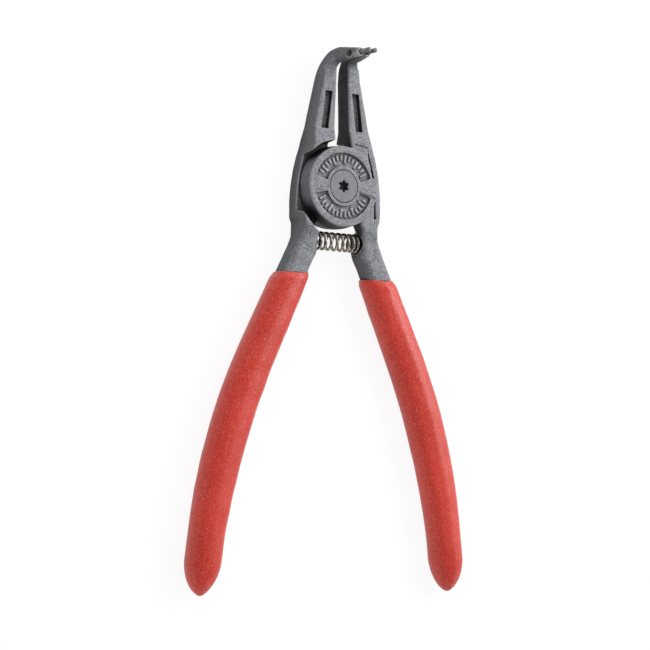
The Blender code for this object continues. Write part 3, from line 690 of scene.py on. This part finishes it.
def dipped_vinyl():
    finish, tree, shader = new_finish("dipped_vinyl_red")
    link = tree.links.new
    pebble = speckle(tree, *VINYL_PEBBLE)
    skin = speckle(tree, *VINYL_SKIN)
    cloud = speckle(tree, *VINYL_CLOUD)
    tone = blended(tree, between(tree, cloud, *LIGHT_CLOUDS), VINYL_RED, VINYL_LIGHT)
    # Painted glints: light specks over the pebble.
    tone = blended(tree, between(tree, pebble, *PEBBLE_GLINTS), tone, VINYL_GLINT)
    tone = blended(tree, between(tree, pebble, *PEBBLE_PITS), tone, VINYL_PIT)
    link(tone, shader.inputs["Base Color"])
    link(between(tree, skin, *ROUGH_SKIN), shader.inputs["Roughness"])
    shader.inputs["Specular IOR Level"].default_value = VINYL_SPECULAR
    shader.inputs["Sheen Weight"].default_value = VINYL_SHEEN
    shader.inputs["Sheen Roughness"].default_value = SHEEN_ROUGHNESS
    shader.inputs["Sheen Tint"].default_value = SHEEN_TINT
    relief = bumped(tree, skin, SKIN_RELIEF)
    link(bumped(tree, pebble, PEBBLE_RELIEF, relief), shader.inputs["Normal"])
    return finish


vinyl = dipped_vinyl()
for side, body in ((LEFT, "left_half"), (RIGHT, "right_half")):
    node = f"{NAMES[side]}_grip"
    fit_piece(f"{NAMES[side]}_sleeve_dipped", sleeve_mesh(side), vinyl, body, node)


# Bench. The pliers lie on a flat white board with a matt paint, a hair below the backs
# of the forgings. Seen directly or in a bright surface it is white, and it keeps the
# soft shadow under them.

BENCH_REACH, BENCH_Z = 1.6, -0.03 * MM
BENCH_PAINT, PAINT_SPECKLE = ((0.76, 0.76, 0.76, 1), (0.80, 0.80, 0.80, 1)), (6.0 * MM, 4.0)
BENCH_GLOW, BENCH_GLOW_SHARE = 1.08, 0.84
WHITE = (1, 1, 1, 1)


def seen_directly(tree):
    """1 where it is looked at, mirrored or seen through a clear piece, 0 as a source of light."""
    rays = put(tree, "ShaderNodeLightPath").outputs
    inputs = {0: rays["Is Camera Ray"], 1: rays["Is Glossy Ray"]}
    seen = put(tree, "ShaderNodeMath", inputs, operation="MAXIMUM").outputs[0]
    inputs = {0: seen, 1: rays["Is Transmission Ray"]}
    return put(tree, "ShaderNodeMath", inputs, operation="MAXIMUM").outputs[0]


def white_bench():
    finish, tree, shader = new_finish("white_bench")
    tree.nodes.remove(shader)
    share = times(tree, seen_directly(tree), BENCH_GLOW_SHARE)
    paint = blended(tree, speckle(tree, *PAINT_SPECKLE), *BENCH_PAINT)
    matt = put(tree, "ShaderNodeBsdfDiffuse", {"Color": paint}).outputs["BSDF"]
    glow = put(tree, "ShaderNodeEmission", {"Color": WHITE, "Strength": BENCH_GLOW}).outputs["Emission"]
    both = put(tree, "ShaderNodeMixShader", {0: share, 1: matt, 2: glow}).outputs["Shader"]
    tree.links.new(both, tree.nodes["Material Output"].inputs["Surface"])
    return finish


bench_mesh = bmesh.new()
corners = [(x * BENCH_REACH, y * BENCH_REACH, BENCH_Z) for x, y in ((-1, -1), (1, -1), (1, 1), (-1, 1))]
bench_mesh.faces.new([bench_mesh.verts.new(corner) for corner in corners])
bench_data = bpy.data.meshes.new("bench")
bench_mesh.to_mesh(bench_data)
bench_mesh.free()
bench_data.materials.append(white_bench())
bench = bpy.data.objects.new("bench", bench_data)
bpy.context.scene.collection.objects.link(bench)


# Lamps and room. One broad lamp stands high on the right and a weaker one beyond the
# noses, both turned to a point near the middle of the pliers. The room round them is
# white low down and dim overhead.

NEAR_MIDDLE = Vector((-2.7625, -41.325, 4.8)) * MM
LAMPS = (
    ("key", (0.46, 0.16, 0.40), 0.36, 2.1),
    ("back", (0.10, 0.50, 0.34), 0.30, 0.8),
)
ROOM_LIGHT = 0.52
WALLS, CEILING = 1, 0.15
WALLS_END, CEILING_STARTS = 0.35, 0.65

for name, place, size, watts in LAMPS:
    lamp_data = bpy.data.lights.new(name, "AREA")
    lamp_data.size = size
    lamp_data.energy = watts
    lamp = bpy.data.objects.new(name, lamp_data)
    lamp.location = place
    lamp.rotation_mode = "QUATERNION"
    lamp.rotation_quaternion = (NEAR_MIDDLE - lamp.location).to_track_quat("-Z", "Y")
    bpy.context.scene.collection.objects.link(lamp)

room = bpy.data.worlds.new("white_room")
room.use_nodes = True
bpy.context.scene.world = room
room_tree = room.node_tree
way = put(room_tree, "ShaderNodeTexCoord").outputs["Generated"]
height = put(room_tree, "ShaderNodeSeparateXYZ", {"Vector": way}).outputs["Z"]
sweep = between(room_tree, height, WALLS_END, CEILING_STARTS, WALLS, CEILING)
room_glow = between(room_tree, seen_directly(room_tree), 0, 1, ROOM_LIGHT, sweep)
room_paint = room_tree.nodes["Background"].inputs
room_paint["Color"].default_value = WHITE
room_tree.links.new(room_glow, room_paint["Strength"])


# Camera. A long lens looks down at the joint from the left and from slightly below it,
# so that the noses point away to the right. It is rolled by a degree.

CAMERA_YAW, CAMERA_DIP = math.radians(33.0), math.radians(-8.0)
CAMERA_ROLL = math.radians(1.025)
CAMERA_PIVOT, CAMERA_DISTANCE = Vector((0, 0, 4.8)) * MM, 607.5 * MM
CAMERA_LENS, CAMERA_FILM = 112.033, 36
CAMERA_NEAR, CAMERA_FAR = 0.05, 20

camera_data = bpy.data.cameras.new("camera")
camera_data.sensor_width = CAMERA_FILM
camera_data.lens = CAMERA_LENS
camera_data.clip_start = CAMERA_NEAR
camera_data.clip_end = CAMERA_FAR
camera = bpy.data.objects.new("camera", camera_data)
sideways = -math.sin(CAMERA_YAW) * math.cos(CAMERA_DIP)
lifted = math.cos(CAMERA_YAW) * math.cos(CAMERA_DIP)
away = Vector((sideways, math.sin(CAMERA_DIP), lifted))
camera.location = CAMERA_PIVOT + away * CAMERA_DISTANCE
forward = (NEAR_MIDDLE - camera.location).normalized()
across = forward.cross(Vector((0, 1, 0))).normalized()
upward = across.cross(forward)
rolled = across * math.cos(CAMERA_ROLL) + upward * math.sin(CAMERA_ROLL)
upward = upward * math.cos(CAMERA_ROLL) - across * math.sin(CAMERA_ROLL)
camera.rotation_mode = "QUATERNION"
camera.rotation_quaternion = Matrix((rolled, upward, -forward)).transposed().to_quaternion()
bpy.context.scene.collection.objects.link(camera)
bpy.context.scene.camera = camera
bpy.context.scene.view_settings.view_transform = "Standard"
